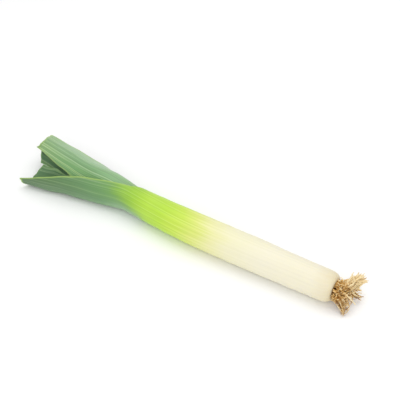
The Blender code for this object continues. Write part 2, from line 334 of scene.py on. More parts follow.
LEAF_FORMS: tuple[LeafForm, ...] = (
    LeafForm("leaf_1", Rank.LOWER, 0, (134.0, 138.5, 143.0), (
        (0.3, 16.1, 0.0, 48.5, 0.0, 38.0, 0.0),
        (12.0, 16.3, 0.0, 39.0, 0.0, 38.0, 0.0),
        (25.0, 19.6, 0.5, 36.0, 0.25, 38.0, 0.0),
        (45.0, 24.4, 2.0, 35.0, 0.45, 38.5, 0.5),
        (78.0, 28.2, 6.6, 30.0, 0.8, 40.0, 2.0),
        (108.0, 32.2, 10.7, 21.0, 1.0, 40.5, 2.5),
        (147.0, 36.8, 16.2, 8.0, 1.0, 40.5, 2.5))),
    LeafForm("leaf_2", Rank.UPPER, 1, (142.0, 138.0, 147.5), (
        (6.3, 10.6, 9.5, 44.3, 0.0, 45.0, 42.0),
        (22.0, 10.4, 10.3, 36.0, 0.0, 46.0, 45.0),
        (36.0, 11.0, 11.3, 30.5, 0.1, 47.0, 48.0),
        (50.0, 11.8, 12.0, 29.0, 0.5, 48.0, 51.0),
        (64.0, 12.2, 12.0, 27.0, 0.85, 48.0, 54.0),
        (80.0, 13.7, 11.8, 24.6, 1.0, 48.0, 56.0),
        (97.0, 16.3, 11.6, 22.4, 1.0, 47.0, 57.5),
        (117.0, 19.4, 11.5, 20.0, 1.0, 45.0, 59.5),
        (137.0, 22.4, 11.7, 17.6, 1.0, 43.0, 62.0),
        (150.0, 24.4, 11.8, 16.0, 1.0, 41.7, 63.6)),
        rounding=0.2),
    LeafForm("leaf_3", Rank.LOWER, 2, (129.5, 135.5, 127.5), (
        (12.3, 12.3, 0.0, 38.3, 0.0, 20.0, 0.0),
        (42.0, 12.3, 0.0, 28.0, 0.0, 20.0, 0.0),
        (60.0, 14.2, 0.5, 20.8, 0.25, 19.0, 5.0),
        (80.0, 18.4, 2.6, 17.4, 0.9, 18.0, 12.0),
        (100.0, 22.0, 3.0, 16.2, 1.0, 18.0, 12.0),
        (116.0, 24.4, 5.4, 19.8, 1.0, 18.0, 12.0),
        (135.0, 26.6, 8.4, 20.5, 1.0, 18.0, 12.0))),
    LeafForm("leaf_4", Rank.UPPER, 3, (137.0, 146.0, 137.0), (
        (18.3, 7.4, 7.4, 32.3, 0.0, 48.0, 45.0),
        (42.0, 7.4, 7.4, 25.0, 0.0, 48.0, 45.0),
        (54.0, 7.4, 7.4, 20.5, 0.0, 48.0, 46.0),
        (62.0, 7.2, 7.0, 20.0, 0.4, 48.0, 49.0),
        (80.0, 5.1, 4.1, 19.0, 0.9, 52.0, 54.0),
        (105.0, 10.0, 4.0, 20.5, 1.0, 52.0, 54.0),
        (148.0, 17.0, 3.2, 22.0, 1.0, 52.0, 54.0))),
    LeafForm("leaf_5", Rank.LOWER, 4, (116.0, 119.0, 108.0), (
        (24.3, 8.5, 0.0, 26.4, 0.0, 14.0, 0.0),
        (50.0, 8.5, 0.0, 20.0, 0.0, 14.0, 0.0),
        (62.0, 8.8, 0.0, 16.5, 0.35, 14.0, 6.0),
        (80.0, 10.9, 0.1, 14.0, 0.9, 14.0, 11.0),
        (122.0, 14.0, 0.2, 13.0, 1.0, 14.0, 11.0))),
    LeafForm("leaf_6", Rank.UPPER, 5, (124.0, 128.0, 120.0), (
        (30.3, 4.7, 4.7, 20.4, 0.0, 50.0, 45.0),
        (50.0, 4.7, 4.7, 12.5, 0.0, 50.0, 45.0),
        (58.0, 4.6, 3.9, 11.0, 0.2, 50.0, 47.0),
        (67.0, 4.3, 2.4, 10.0, 0.5, 50.0, 50.0),
        (82.0, 3.5, -0.6, 11.0, 1.0, 52.0, 54.0),
        (128.0, 8.0, -1.8, 12.0, 1.0, 52.0, 54.0))),
    LeafForm("leaf_7", Rank.LOWER, 6, (111.0, 115.0, 112.0), (
        (36.3, 4.7, 0.0, 14.5, 0.0, 8.0, 0.0),
        (54.0, 4.7, 0.0, 11.0, 0.0, 8.0, 0.0),
        (67.0, 4.6, -1.5, 9.0, 0.45, 8.0, 7.0),
        (80.0, 4.2, -2.8, 8.0, 0.9, 8.0, 12.0),
        (116.0, 2.6, -3.6, 7.5, 1.0, 8.0, 12.0))),
)


# --------------------------------------------------------------------------------------------
# Meshes
# --------------------------------------------------------------------------------------------


@dataclass
class Faces:
    """Two faces of a leaf on one grid of rows and columns, and where each point is on the leaf.

    Args:
        outer: points of the outer face, in millimetres.
        inner: points of the inner face.
        place: place along the leek's X, before any rising or leaning.
        across: distance from the keel, below 0 on the far side.
        edge: distance to the nearest free edge.
        radius: the radius that the grain is wound on.
    """

    outer: np.ndarray
    inner: np.ndarray
    place: np.ndarray
    across: np.ndarray
    edge: np.ndarray
    radius: float

    def grain(self) -> np.ndarray:
        """Places on a roll of the leaf's own radius, on which the grain has no break at the seam."""
        angle = self.across / self.radius
        return np.stack([self.radius * np.cos(angle), self.radius * np.sin(angle), self.place], axis=-1)

    def slant(self, form: LeafForm, ragged: float, first: int = 0) -> None:
        """Shear the blade along its length, more and more, so that its last row lies on its slanting cut.

        Args:
            form: the leaf, which says where it is cut.
            ragged: how far the cut wanders.
            first: the last row that stays where it is.
        """
        far, keel, near = form.cut
        share = self.across[-1] / np.abs(self.across[-1]).max()
        shift = share * np.where(share > 0.0, near - keel, keel - far)
        shift = shift + ragged * waves(share * 2.1, 0.3, form.layer + 40)
        last = len(self.across) - 1
        part = np.clip((np.arange(last + 1) - first) / (last - first), 0.0, 1.0)[:, None] ** 1.5 * shift
        for points in (self.outer, self.inner):
            ahead = np.gradient(points, axis=0)
            ahead = ahead / np.maximum(np.linalg.norm(ahead, axis=-1, keepdims=True), 1e-6)
            points += ahead * part[..., None]
        self.place = self.place - part


@dataclass(frozen=True)
class LeafBlank:
    """How a leaf's wall is made up, in millimetres.

    Args:
        thickness: at the keel.
        margin_thickness: at the margins and the cut.
        thinning: how far in from an edge the wall gets thinner.
        wave: height of the slow waves in the blade.
        wave_length: how long they are along the blade, and how wide across it.
        breathing: how much the blade's width comes and goes along it, as a share of it.
        breath_length: over what length it does.
        ragged: how far the cut wanders.
        columns: faces across the whole width.
        row: length of a face.
    """

    thickness: float = 1.0
    margin_thickness: float = 0.45
    thinning: float = 2.5
    wave: float = 0.28
    wave_length: tuple[float, float] = (42.0, 30.0)
    breathing: float = 0.012
    breath_length: float = 31.0
    ragged: float = 0.3
    columns: int = 72
    row: float = 1.3

    def faces(self, form: LeafForm, fan: FanForm, sections: Sections, reach: np.ndarray,
              seed: int) -> Faces:
        """Set out both faces of a leaf.

        Args:
            form: the leaf.
            fan: the fan that it parts in.
            sections: a section for each row.
            reach: the rows' distances past the throat along the keel, before the slanting cut.
            seed: which waves it gets.

        Returns:
            The two faces.
        """
        flatten, reach = sections.flatten[:, None], reach[:, None]
        breath = self.breathing * waves(reach / self.breath_length, 0.0, seed + 5)
        half = sections.half_width[:, None] * (1.0 + breath * flatten)
        across = np.linspace(-1.0, 1.0, self.columns + 1)[None, :] * half
        aside, inward, angle = (part[..., None] for part in self.fold_in(sections, across, form.rounding))

        rankward = form.rank.value * fan.upward
        twist = np.radians(sections.twist)[:, None]
        keelward = (rankward * np.cos(twist) + fan.frontward * np.sin(twist))[:, None, :]
        sideward = (fan.frontward * np.cos(twist) - rankward * np.sin(twist))[:, None, :]
        keel = (sections.centre + rankward * sections.spread[:, None]
                + fan.frontward * sections.lean[:, None])[:, None, :]
        normal = sideward * np.sin(angle) + keelward * np.cos(angle)
        wave = self.wave * flatten * waves(reach / self.wave_length[0], across / self.wave_length[1], seed)
        outer = keel + sideward * aside - keelward * inward + normal * wave[..., None]
        outer[..., 2] = np.maximum(outer[..., 2], 0.0)

        edge = np.minimum(half - np.abs(across), reach[-1] - reach)
        taper = np.clip(edge / self.thinning, 0.0, 1.0) ** 0.6
        wall = self.margin_thickness + (self.thickness - self.margin_thickness) * taper
        inner = outer - normal * wall[..., None]
        place = np.broadcast_to(sections.centre[0, 0] + reach[0] - reach, across.shape)
        return Faces(outer, inner, place, across, edge, float(sections.radius[-1]))

    @staticmethod
    def fold_in(sections: Sections, across: np.ndarray,
                rounding: float) -> tuple[np.ndarray, np.ndarray, np.ndarray]:
        """Follow each section from its keel outwards.

        Args:
            sections: the sections.
            across: distance from the keel of every point.
            rounding: width of the rounded keel, against its sheath's radius.

        Returns:
            How far each point is aside of the keel and inward from it, and its angle there.
        """
        steps = 24
        part = np.abs(across) / steps
        radius, flatten = sections.radius[:, None], sections.flatten[:, None]
        turn = np.radians(90.0 - sections.fold)[:, None]

        def angle_after(count: float) -> np.ndarray:
            """The section's angle this many steps out from the keel."""
            rise = np.clip(count * part / (rounding * radius), 0.0, 1.0)
            return (1.0 - flatten) * count * part / radius + flatten * turn * rise * rise * (3.0 - 2.0 * rise)

        aside, inward = np.zeros(across.shape), np.zeros(across.shape)
        for k in range(steps):
            angle = angle_after(k + 0.5)
            aside += np.cos(angle) * part
            inward += np.sin(angle) * part
        return np.copysign(aside, across), inward, np.copysign(angle_after(steps), across)


class Patchwork:
    """A mesh put together from grids of points, with what is known at each point."""

    def __init__(self) -> None:
        """Start with nothing."""
        self.known: dict[str, list[np.ndarray]] = {
            name: [] for name in ("points", "grain", "edge", "across", "inner_side")}
        self.faces: list[tuple[int, ...]] = []
        self.count = 0

    def add(self, points: np.ndarray, grain: np.ndarray, edge: np.ndarray | float = NO_EDGE,
            inner_side: float = 0.0, across: np.ndarray | float = 0.0) -> np.ndarray:
        """Add a grid of points.

        Args:
            points: the points, in millimetres.
            grain: where each is on its leaf.
            edge: how far each is from a free edge.
            inner_side: 0 on an outer face and 1 on an inner one.
            across: how far each is from the keel, below 0 on the far side.

        Returns:
            The points' numbers, in the shape of the grid.
        """
        shape = points.shape[:-1]
        size = int(np.prod(shape))
        self.known["points"].append(points.reshape(-1, 3))
        self.known["grain"].append(grain.reshape(-1, 3))
        for name, values in (("edge", edge), ("across", across), ("inner_side", inner_side)):
            self.known[name].append(np.broadcast_to(values, shape).reshape(-1))
        numbers = np.arange(self.count, self.count + size).reshape(shape)
        self.count += size
        return numbers

    def add_side(self, faces: Faces, inner: bool, first: int = 0) -> np.ndarray:
        """Add the points of one side of a leaf.

        Args:
            faces: the leaf's two faces.
            inner: whether its inner face is wanted.
            first: the first row that is wanted.

        Returns:
            The points' numbers, in rows and columns.
        """
        points = faces.inner if inner else faces.outer
        return self.add(points[first:], faces.grain()[first:], faces.edge[first:], float(inner),
                        faces.across[first:])

    def quads(self, a: np.ndarray, b: np.ndarray, flip: bool = False) -> None:
        """Fill the strip between two rows of points of the same length."""
        for k in range(len(a) - 1):
            self.fill((a[k], a[k + 1], b[k + 1], b[k]), flip)

    def fill(self, ring: Sequence[int], flip: bool = False) -> None:
        """Fill a closed ring of points with one face; a point that comes twice counts once."""
        face = tuple(dict.fromkeys(int(number) for number in ring))
        self.faces.append(face[::-1] if flip else face)

    def sheet(self, rows: Sequence[np.ndarray], flip: bool = False) -> None:
        """Fill the strips between all rows of points, one after another."""
        for a, b in zip(rows, rows[1:]):
            self.quads(a, b, flip)

    def rim(self, outer: np.ndarray, inner: np.ndarray) -> None:
        """Close the margins and the cut end of a blade.

        Args:
            outer: the numbers of its outer points, in rows and columns.
            inner: the numbers of the inner points behind them.
        """
        self.quads(outer[:, 0], inner[:, 0])
        self.quads(outer[:, -1], inner[:, -1], flip=True)
        self.quads(outer[-1], inner[-1])

    def mesh(self, name: str) -> bpy.types.Mesh:
        """Make the mesh, facing outwards.

        Args:
            name: the mesh's name.

        Returns:
            The mesh, with the attributes that the finishes read.
        """
        used = sorted({number for face in self.faces for number in face})
        renumber = {old: new for new, old in enumerate(used)}
        faces = [[renumber[number] for number in face] for face in self.faces]
        known = {title: np.concatenate(parts)[used] for title, parts in self.known.items()}
        points = known["points"] * MM
        if self.volume(points, faces) < 0.0:
            faces = [face[::-1] for face in faces]
        mesh = bpy.data.meshes.new(name)
        mesh.from_pydata(points.tolist(), [], faces)
        grain = mesh.attributes.new("grain", "FLOAT_VECTOR", "POINT")
        grain.data.foreach_set("vector", (known["grain"] * MM).reshape(-1))
        for title, unit in (("edge", MM), ("across", MM), ("inner_side", 1.0)):
            store(mesh, title, known[title] * unit)
        mesh.shade_smooth()
        mesh.set_sharp_from_angle(angle=SHARP)
        return mesh

    @staticmethod
    def volume(points: np.ndarray, faces: list[list[int]]) -> float:
        """The volume that the faces close in.

        Args:
            points: the mesh's points.
            faces: the numbers of each face's points.

        Returns:
            The volume, below 0 where the faces point inwards.
        """
        total = 0.0
        for face in faces:
            first, *others = points[face]
            total += sum(float(np.dot(first, np.cross(a, b))) for a, b in zip(others, others[1:]))
        return total / 6.0


def store(mesh: bpy.types.Mesh, name: str, values: Sequence[float]) -> None:
    """Store a number at each of a mesh's points, for its finish to read."""
    mesh.attributes.new(name, "FLOAT", "POINT").data.foreach_set("value", np.asarray(values, dtype=float))


def put_in_scene(name: str, data: bpy.types.ID) -> bpy.types.Object:
    """Put an object in the scene.

    Args:
        name: its name.
        data: its mesh, light or camera.

    Returns:
        The object.
    """
    thing = bpy.data.objects.new(name, data)
    bpy.context.scene.collection.objects.link(thing)
    return thing


def add_piece(name: str, mesh: bpy.types.Mesh, nodes: Sequence[str]) -> bpy.types.Object:
    """Put a finished piece in the scene and tell the frame what it is.

    Args:
        name: the piece's name.
        mesh: its mesh, in place.
        nodes: the solids that it stands for.

    Returns:
        The piece.
    """
    piece = put_in_scene(name, mesh)
    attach(piece, BODY)
    if nodes:
        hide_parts(*nodes)
    LOG.info("%s: %d faces", name, len(mesh.polygons))
    return piece


# --------------------------------------------------------------------------------------------
# Finishes
# --------------------------------------------------------------------------------------------


class Graph:
    """A short way to write the nodes of a tree."""

    def __init__(self, tree: bpy.types.NodeTree) -> None:
        """Work in a tree."""
        self.tree = tree

    def put(self, value: Value, socket: Socket) -> None:
        """Link a socket to a socket, or set a plain value on it.

        Args:
            value: another node's output, or a plain value.
            socket: the input that takes it.
        """
        if isinstance(value, Socket):
            self.tree.links.new(value, socket)
        elif isinstance(value, tuple) and len(value) == 3 and len(socket.default_value) == 4:
            socket.default_value = (*value, 1.0)
        else:
            socket.default_value = value

    def node(self, kind: str, inputs: Mapping[str | int, Value], output: str | int = 0,
             **settings: str) -> Socket:
        """Add a node.

        Args:
            kind: its type.
            inputs: what goes into its sockets, by their names or numbers.
            output: the name or number of the output that is wanted.
            settings: its other settings.

        Returns:
            That output.
        """
        node = self.tree.nodes.new(kind)
        for name, value in settings.items():
            setattr(node, name, value)
        for key, value in inputs.items():
            self.put(value, node.inputs[key])
        return node.outputs[output]

    def math(self, operation: str, a: Value, b: Value = 0.0) -> Socket:
        """A sum on two values."""
        return self.node("ShaderNodeMath", {0: a, 1: b}, operation=operation)

    def product(self, first: Value, *others: Value) -> Value:
        """All of the values multiplied.

        Args:
            first: the first value.
            others: the others.

        Returns:
            Their product.
        """
        for other in others:
            first = self.math("MULTIPLY", first, other)
        return first

    def fit(self, value: Value, low: float, high: float, to_low: Value = 0.0, to_high: Value = 1.0,
            smooth: bool = True) -> Socket:
        """A value moved from one range to another and kept inside it, easing in and out or evenly."""
        return self.node("ShaderNodeMapRange", {0: value, 1: low, 2: high, 3: to_low, 4: to_high},
                         interpolation_type="SMOOTHSTEP" if smooth else "LINEAR")


class MaterialGraph(Graph):
    """The nodes of a material with one shader."""

    def __init__(self, name: str) -> None:
        """Make a material with a plain shader.

        Args:
            name: the material's name.
        """
        self.material = bpy.data.materials.new(name)
        self.material.use_nodes = True
        super().__init__(self.material.node_tree)
        self.shader = self.tree.nodes["Principled BSDF"]

    def dress(self, inputs: Mapping[str, Value]) -> bpy.types.Material:
        """Set the shader's sockets.

        Args:
            inputs: what goes into them, by their names.

        Returns:
            The finished material.
        """
        for name, value in inputs.items():
            self.put(value, self.shader.inputs[name])
        return self.material

    def attribute(self, name: str, output: str = "Fac") -> Socket:
        """What the piece's mesh stores under a name."""
        return self.node("ShaderNodeAttribute", {}, output, attribute_name=name)

    def noise(self, vector: Socket, scale: Triple, detail: float, shift: Triple = (0.0, 0.0, 0.0)) -> Socket:
        """Soft noise, mostly between 0.3 and 0.7, with this many grains to a metre each way."""
        moved = self.node("ShaderNodeMapping", {"Vector": vector, "Scale": scale, "Location": shift})
        return self.node("ShaderNodeTexNoise", {"Vector": moved, "Scale": 1.0, "Detail": detail})

    def swing(self, noise: Socket, amount: float, middle: float = 0.0, smooth: bool = True) -> Socket:
        """Noise turned into a swing of some amount either way."""
        return self.fit(noise, 0.3, 0.7, middle - amount, middle + amount, smooth)

    def ramp(self, value: Value, stops: Sequence[tuple[float, Colour]]) -> Socket:
        """A run of colours over 0 to 1.

        Args:
            value: the place in the run.
            stops: places from 0 to 1 and the colours there.

        Returns:
            The colour.
        """
        colour = self.node("ShaderNodeValToRGB", {0: value})
        elements = colour.node.color_ramp.elements
        while len(elements) < len(stops):
            elements.new(0.5)
        for element, (place, shade) in zip(elements, stops):
            element.position = place
            element.color = (*shade, 1.0)
        return colour

    def mix(self, share: Value, a: Value, b: Value, blend: str = "MIX") -> Socket:
        """Two colours mixed, with this share of the second. The node's colours are its inputs 6 and 7."""
        return self.node("ShaderNodeMix", {0: share, 6: a, 7: b}, 2, data_type="RGBA", blend_type=blend)

    def tinted(self, a: Value, b: Value) -> Socket:
        """A colour multiplied by another."""
        return self.mix(1.0, a, b, "MULTIPLY")

    def bump(self, height: Socket, distance: float, strength: float, **under: Socket) -> Socket:
        """A relief: its height, how many metres a height of 1 is, and how much of it shows."""
        return self.node("ShaderNodeBump", {"Strength": strength, "Distance": distance, "Height": height,
                                            **under})


# Grains of the skin's noises to a metre: two numbers across the leek and one along it.
VEIN_GRAIN: Triple = (900.0, 900.0, 6.0)
BAND_GRAIN: Triple = (520.0, 520.0, 5.0)
PATCH_GRAIN: Triple = (50.0, 50.0, 16.0)

# Stretches along X, in metres, over which a look of the skin comes in or goes.
STREAKS_COME = (0.0, -0.070)
LAG_COMES = (-0.090, -0.120)
NEAR_TINT_COMES = (-0.100, -0.135)
BLOOM_COMES, BLOOM_GOES = (-0.105, -0.122), (-0.170, -0.135)
BLADE_COMES = (-0.115, -0.135)
WAX_AND_SHEEN_COMES, WAX_AND_SHEEN_GOES = (-0.125, -0.165), (-0.262, -0.232)

# Distances in metres, from an edge and then from the keel, over which a look does.
EDGE_GOES = (0.0, 0.0024)
CREASE_SHADE_GOES = (0.0004, 0.0016)
BLOOM_NARROWS = (0.018, 0.002)
WAX_AND_SHEEN_NARROWS = (0.011, 0.003)
NEAR_TINT_WIDENS = (0.003, 0.018)
LAG_WIDENS = (0.004, 0.030)


@dataclass(frozen=True)
class LeafFinish:
    """The skin of a leaf from the shank to its cut: waxy, with fine veins running lengthwise.

    Args:
        name: the material's name.
        stops: places along X in millimetres, and the colour of the outer face there.
        inner: the colour of the inner face on the blade.
        margin: the colour of the thin margin and the cut.
        pale: the pale colour along the keel and the half beyond it, partly the skin's waxy bloom and
        partly painted sheen, a glancing reflection; darkened, the painted shade along the keel's fold.
        gold: the colour of the sunned streaks.
        line: the colour of the fine pale lines between the veins.
        seed: shifts the pattern, so that no two leaves are alike.
        streak: how strong the streaks are.
        wax_and_sheen: how strong that pale is along the keel and beyond it, and the painted shade along its
            fold.
        bloom: how strong it is at the keel's foot, where the blade leaves the shank.
        nearness: what the outer face has of its colour at the near margin.
        sunned: how strong the sunned streaks are.
        roughness: the middle roughness of the skin.
        sheen: how strong the waxy skin's sheen is at a glance.
    """

    name: str
    stops: tuple[tuple[float, Colour], ...]
    inner: Colour = (0.24, 0.42, 0.15)
    margin: Colour = (0.38, 0.56, 0.14)
    pale: Colour = (0.36, 0.52, 0.33)
    gold: Colour = (0.33, 0.46, 0.13)
    line: Colour = (0.85, 0.90, 0.62)
    seed: float = 0.0
    streak: float = 1.0
    wax_and_sheen: float = 0.0
    bloom: float = 0.0
    nearness: Colour = (1.0, 1.0, 1.0)
    sunned: float = 0.3
    roughness: float = 0.5
    sheen: float = 0.1

    def for_leaf(self, form: LeafForm) -> "LeafFinish":
        """The same finish for one leaf, under its name and with a pattern of its own."""
        return replace(self, name=form.name + " skin", seed=0.37 * form.layer)

    def material(self) -> bpy.types.Material:
        """Make the material. Places and widths in it are in metres.

        Returns:
            The material, which reads the attributes that Patchwork stores.
        """
        g = MaterialGraph(self.name)
        grain, across = g.attribute("grain", "Vector"), g.attribute("across")
        place = g.node("ShaderNodeSeparateXYZ", {0: grain}, "Z")
        off = g.math("ABSOLUTE", across)
        shift = (self.seed, 2.0 * self.seed, 3.0 * self.seed)
        veins = g.noise(grain, VEIN_GRAIN, 2.0, shift)
        bands = g.noise(grain, BAND_GRAIN, 3.0, shift)
        patches = g.noise(grain, PATCH_GRAIN, 3.0, shift)
        blade = g.fit(place, *BLADE_COMES)

        depth = g.fit(place, *STREAKS_COME, 0.25 * self.streak, self.streak)
        tone = g.product(g.math("ADD", g.swing(veins, 0.05), g.swing(bands, 0.07)), depth)
        light = g.math("ADD", 1.0, tone)
        shade = g.node("ShaderNodeCombineColor", {0: light, 1: light, 2: light})

        outer = self.run(g, place, off, (bands, patches))
        nearby = g.product(g.fit(across, *NEAR_TINT_WIDENS), g.fit(place, *NEAR_TINT_COMES))
        outer = g.mix(nearby, outer, g.tinted(outer, self.nearness))
        outer = g.mix(g.product(g.fit(veins, 0.50, 0.72, 0.0, 0.2), depth), outer, self.line)
        outer = g.mix(g.product(g.fit(bands, 0.50, 0.66, 0.0, self.sunned), blade), outer, self.gold)
        # Pale along the keel and beyond it: partly waxy bloom, partly painted sheen.
        outer = g.mix(self.wax_and_sheen_share(g, place, across, off, (bands, patches)), g.tinted(outer, shade), self.pale)
        # A darker line along the keel's fold: painted shade.
        crease_shade = g.product(g.fit(off, *CREASE_SHADE_GOES, 0.55 * self.wax_and_sheen, 0.0), blade)
        outer = g.mix(crease_shade, outer, tuple(0.6 * part for part in self.pale))

        faced = g.mix(g.attribute("inner_side"), outer, g.tinted(self.inner, shade))
        rim = g.product(g.fit(g.attribute("edge"), *EDGE_GOES, 0.85, 0.0), blade)
        relief = g.bump(bands, 0.00035, 0.5, Normal=g.bump(veins, 0.0002, 0.7))
        return g.dress({
            "Base Color": g.mix(rim, faced, self.margin), "Normal": relief,
            "Roughness": g.swing(patches, 0.07, self.roughness), "Specular IOR Level": 0.35,
            "Sheen Weight": self.sheen, "Sheen Roughness": 0.4, "Subsurface Weight": 0.12,
            "Subsurface Radius": (1.0, 0.9, 0.4), "Subsurface Scale": 0.002})

    def run(self, g: MaterialGraph, place: Socket, off: Socket, noises: tuple[Socket, Socket]) -> Socket:
        """The run of colours along the outer face, which wanders and comes later off the keel.

        Args:
            g: where its nodes go.
            place: the place along X.
            off: the distance from the keel.
            noises: the bands and the patches.

        Returns:
            The colour.
        """
        bands, patches = noises
        lag = g.product(g.fit(off, *LAG_WIDENS, -0.008, 0.024), g.fit(place, *LAG_COMES))
        wander = g.math("ADD", g.swing(bands, 0.004, smooth=False), g.swing(patches, 0.006, smooth=False))
        moved = g.math("ADD", place, g.math("ADD", lag, wander))
        low, high = self.stops[0][0], self.stops[-1][0]
        return g.ramp(g.fit(moved, low * MM, high * MM, smooth=False),
                      [((x - low) / (high - low), colour) for x, colour in self.stops])

    def wax_and_sheen_share(self, g: MaterialGraph, place: Socket, across: Socket, off: Socket,
              noises: tuple[Socket, Socket]) -> Socket:
        """How much pale lies on the outer face: worn along the keel and beyond it, and fresh at its foot.

        Along the keel it is partly the skin's waxy bloom and partly painted sheen, a glancing reflection.

        Args:
            g: where its nodes go.
            place: the place along X.
            across: the distance from the keel, below 0 on the far side.
            off: the distance from the keel on either side.
            noises: the bands and the patches, which it is worn by.

        Returns:
            The share of wax.
        """
        bands, patches = noises
        keel = g.product(
            g.fit(across, *WAX_AND_SHEEN_NARROWS, 0.0, self.wax_and_sheen), g.fit(place, *WAX_AND_SHEEN_COMES),
            g.fit(bands, 0.36, 0.60, 0.25, 1.0), g.fit(patches, 0.32, 0.50, 0.45, 1.0),
            g.fit(place, *WAX_AND_SHEEN_GOES, 0.35, 1.0))
        foot = g.product(g.fit(off, *BLOOM_NARROWS, 0.0, self.bloom), g.fit(place, *BLOOM_COMES),
                         g.fit(place, *BLOOM_GOES))
        return g.math("MAXIMUM", keel, foot)


@dataclass(frozen=True)
class RootFinish:
    """Dry, fibrous roots: brown where they leave the disc and straw-pale at their tips.

    Deep in the tuft, near the disc's middle, they are darker still as painted shade between the roots.

    Args:
        name: the material's name.
        foot: the colour at the disc and deep in the tuft: the roots' own dark brown, made darker as
        painted shade between them.
        body: the colour along the root.
        tip: the colour at its end.
        dull: what the dullest roots have of those colours.
        plain: what the middling roots have of them; the brightest have them whole.
    """

    name: str = "straw roots"
    foot: Colour = (0.075, 0.022, 0.004)
    body: Colour = (0.74, 0.47, 0.16)
    tip: Colour = (0.95, 0.79, 0.48)
    dull: Colour = (0.30, 0.17, 0.06)
    plain: Colour = (0.62, 0.46, 0.28)

    def material(self) -> bpy.types.Material:
        """Make the material.

        Returns:
            The material, which reads the attributes that the tuft stores.
        """
        g = MaterialGraph(self.name)
        coordinates = g.node("ShaderNodeTexCoord", {}, "Object")
        mottle = g.noise(coordinates, (900.0, 900.0, 900.0), 3.0)
        streaks = g.noise(coordinates, (330.0, 330.0, 330.0), 2.0, (0.3, 0.1, 0.7))
        # How far along the run from foot to tip: along the root, and out of the tuft, where the darker colour
        # deep inside is painted shade between the roots.
        far = g.math("ADD", g.product(g.attribute("along"), 0.35), g.product(g.attribute("outward"), 0.65))
        share = g.math("ADD", far, g.product(g.math("SUBTRACT", mottle, 0.5), 0.5))
        base = g.ramp(share, ((0.08, self.foot), (0.32, self.body), (0.50, self.body), (0.84, self.tip)))
        tone = g.ramp(g.math("ADD", g.attribute("strand"), g.swing(streaks, 0.3, smooth=False)),
                      ((0.0, self.dull), (0.26, self.plain), (0.56, (1.0, 1.0, 1.0))))
        return g.dress({"Base Color": g.tinted(base, tone), "Normal": g.bump(mottle, 0.0003, 0.7),
                        "Roughness": 0.8, "Specular IOR Level": 0.1})


@dataclass(frozen=True)
class FloorFinish:
    """A plain pale floor.

    Args:
        name: the material's name.
        colour: its colour.
    """

    name: str = "pale floor"
    colour: Colour = (0.97, 0.97, 0.97)

    def material(self) -> bpy.types.Material:
        """Make the material."""
        return MaterialGraph(self.name).dress(
            {"Base Color": self.colour, "Roughness": 0.9, "Specular IOR Level": 0.1})


# Places along X in millimetres, and the skin's colour there: cream at the roots, lime below the
# leaves, then the grey-green of the waxy blade.
SHANK_STOPS: tuple[tuple[float, Colour], ...] = (
    (-270.0, (0.115, 0.200, 0.105)), (-240.0, (0.145, 0.245, 0.130)), (-215.0, (0.155, 0.270, 0.142)),
    (-172.0, (0.190, 0.345, 0.180)), (-150.0, (0.210, 0.385, 0.182)), (-134.0, (0.240, 0.430, 0.170)),
    (-124.0, (0.300, 0.510, 0.125)), (-115.0, (0.380, 0.610, 0.095)), (-102.0, (0.440, 0.690, 0.070)),
    (-82.0, (0.480, 0.725, 0.060)), (-60.0, (0.575, 0.760, 0.088)), (-42.0, (0.710, 0.780, 0.200)),
    (-24.0, (0.810, 0.800, 0.400)), (0.0, (0.840, 0.810, 0.550)), (45.0, (0.845, 0.805, 0.630)),
    (98.0, (0.835, 0.785, 0.610)), (122.0, (0.750, 0.660, 0.450)))


def blade_stops(deep: Colour, mid: Colour) -> tuple[tuple[float, Colour], ...]:
    """The run of colours of an inner leaf, from these at its cut end and half way to the shank."""
    return ((-275.0, deep), (-215.0, mid), (-165.0, mid), (-140.0, (0.240, 0.410, 0.160)),
            (-125.0, (0.300, 0.500, 0.110)), (-105.0, (0.560, 0.680, 0.200)))


OUTER_SKIN = LeafFinish("outer leaf skin", SHANK_STOPS, inner=(0.19, 0.35, 0.14), streak=0.7, wax_and_sheen=0.1,
                        bloom=0.7, nearness=(0.74, 0.83, 0.64), sunned=0.1)
OUTER_BLANK = LeafBlank(columns=104)

# What the small inner leaves are like, and the skins and blanks of the layers that differ. The inner
# leaves' dark colours, on both faces and at the margins, are painted shade where they lie in the
# shadow of the leaves outside them, and so is the third leaf's darker colour half way along; the
# second leaf has its own colours.
SHADED_INNER_SKIN = LeafFinish(
    "inner leaf skin", blade_stops((0.070, 0.155, 0.070), (0.065, 0.150, 0.060)), inner=(0.14, 0.28, 0.10),
    margin=(0.20, 0.34, 0.13), wax_and_sheen=0.1, sunned=0.15, sheen=0.15)
INNER_SKINS: dict[int, LeafFinish] = {
    1: replace(SHADED_INNER_SKIN, stops=blade_stops((0.27, 0.44, 0.19), (0.225, 0.45, 0.18)),
               inner=(0.24, 0.42, 0.15), margin=(0.38, 0.53, 0.18), streak=1.6, wax_and_sheen=0.75, sunned=0.45),
    2: replace(SHADED_INNER_SKIN, stops=blade_stops((0.12, 0.24, 0.11), (0.09, 0.19, 0.08)))}
SMALL_BLANK = LeafBlank(columns=40, row=2.0, wave=0.1)
INNER_BLANKS: dict[int, LeafBlank] = {
    1: LeafBlank(columns=84), 2: LeafBlank(columns=60), 3: LeafBlank(columns=60)}


# --------------------------------------------------------------------------------------------
# Sub-assemblies
# --------------------------------------------------------------------------------------------


@dataclass(frozen=True)
class Leaf:
    """A leaf that is built from its form.

    Args:
        form: its sizes.
        fan: the fan that it parts in.
        finish: its skin.
        blank: how its wall is made up.
    """

    form: LeafForm
    fan: FanForm
    finish: LeafFinish
    blank: LeafBlank

    def finished(self, patch: Patchwork, name: str, slot: Slot, *nodes: str) -> bpy.types.Object:
        """Make its piece of what was put together.

        Args:
            patch: the mesh as it was put together.
            name: the piece's name.
            slot: the material slot for its finish; not used.
            nodes: the solids that it stands for.

        Returns:
            The piece.
        """
        mesh = patch.mesh(name)
        mesh.materials.append(self.finish.material())
        return add_piece(name, mesh, nodes)


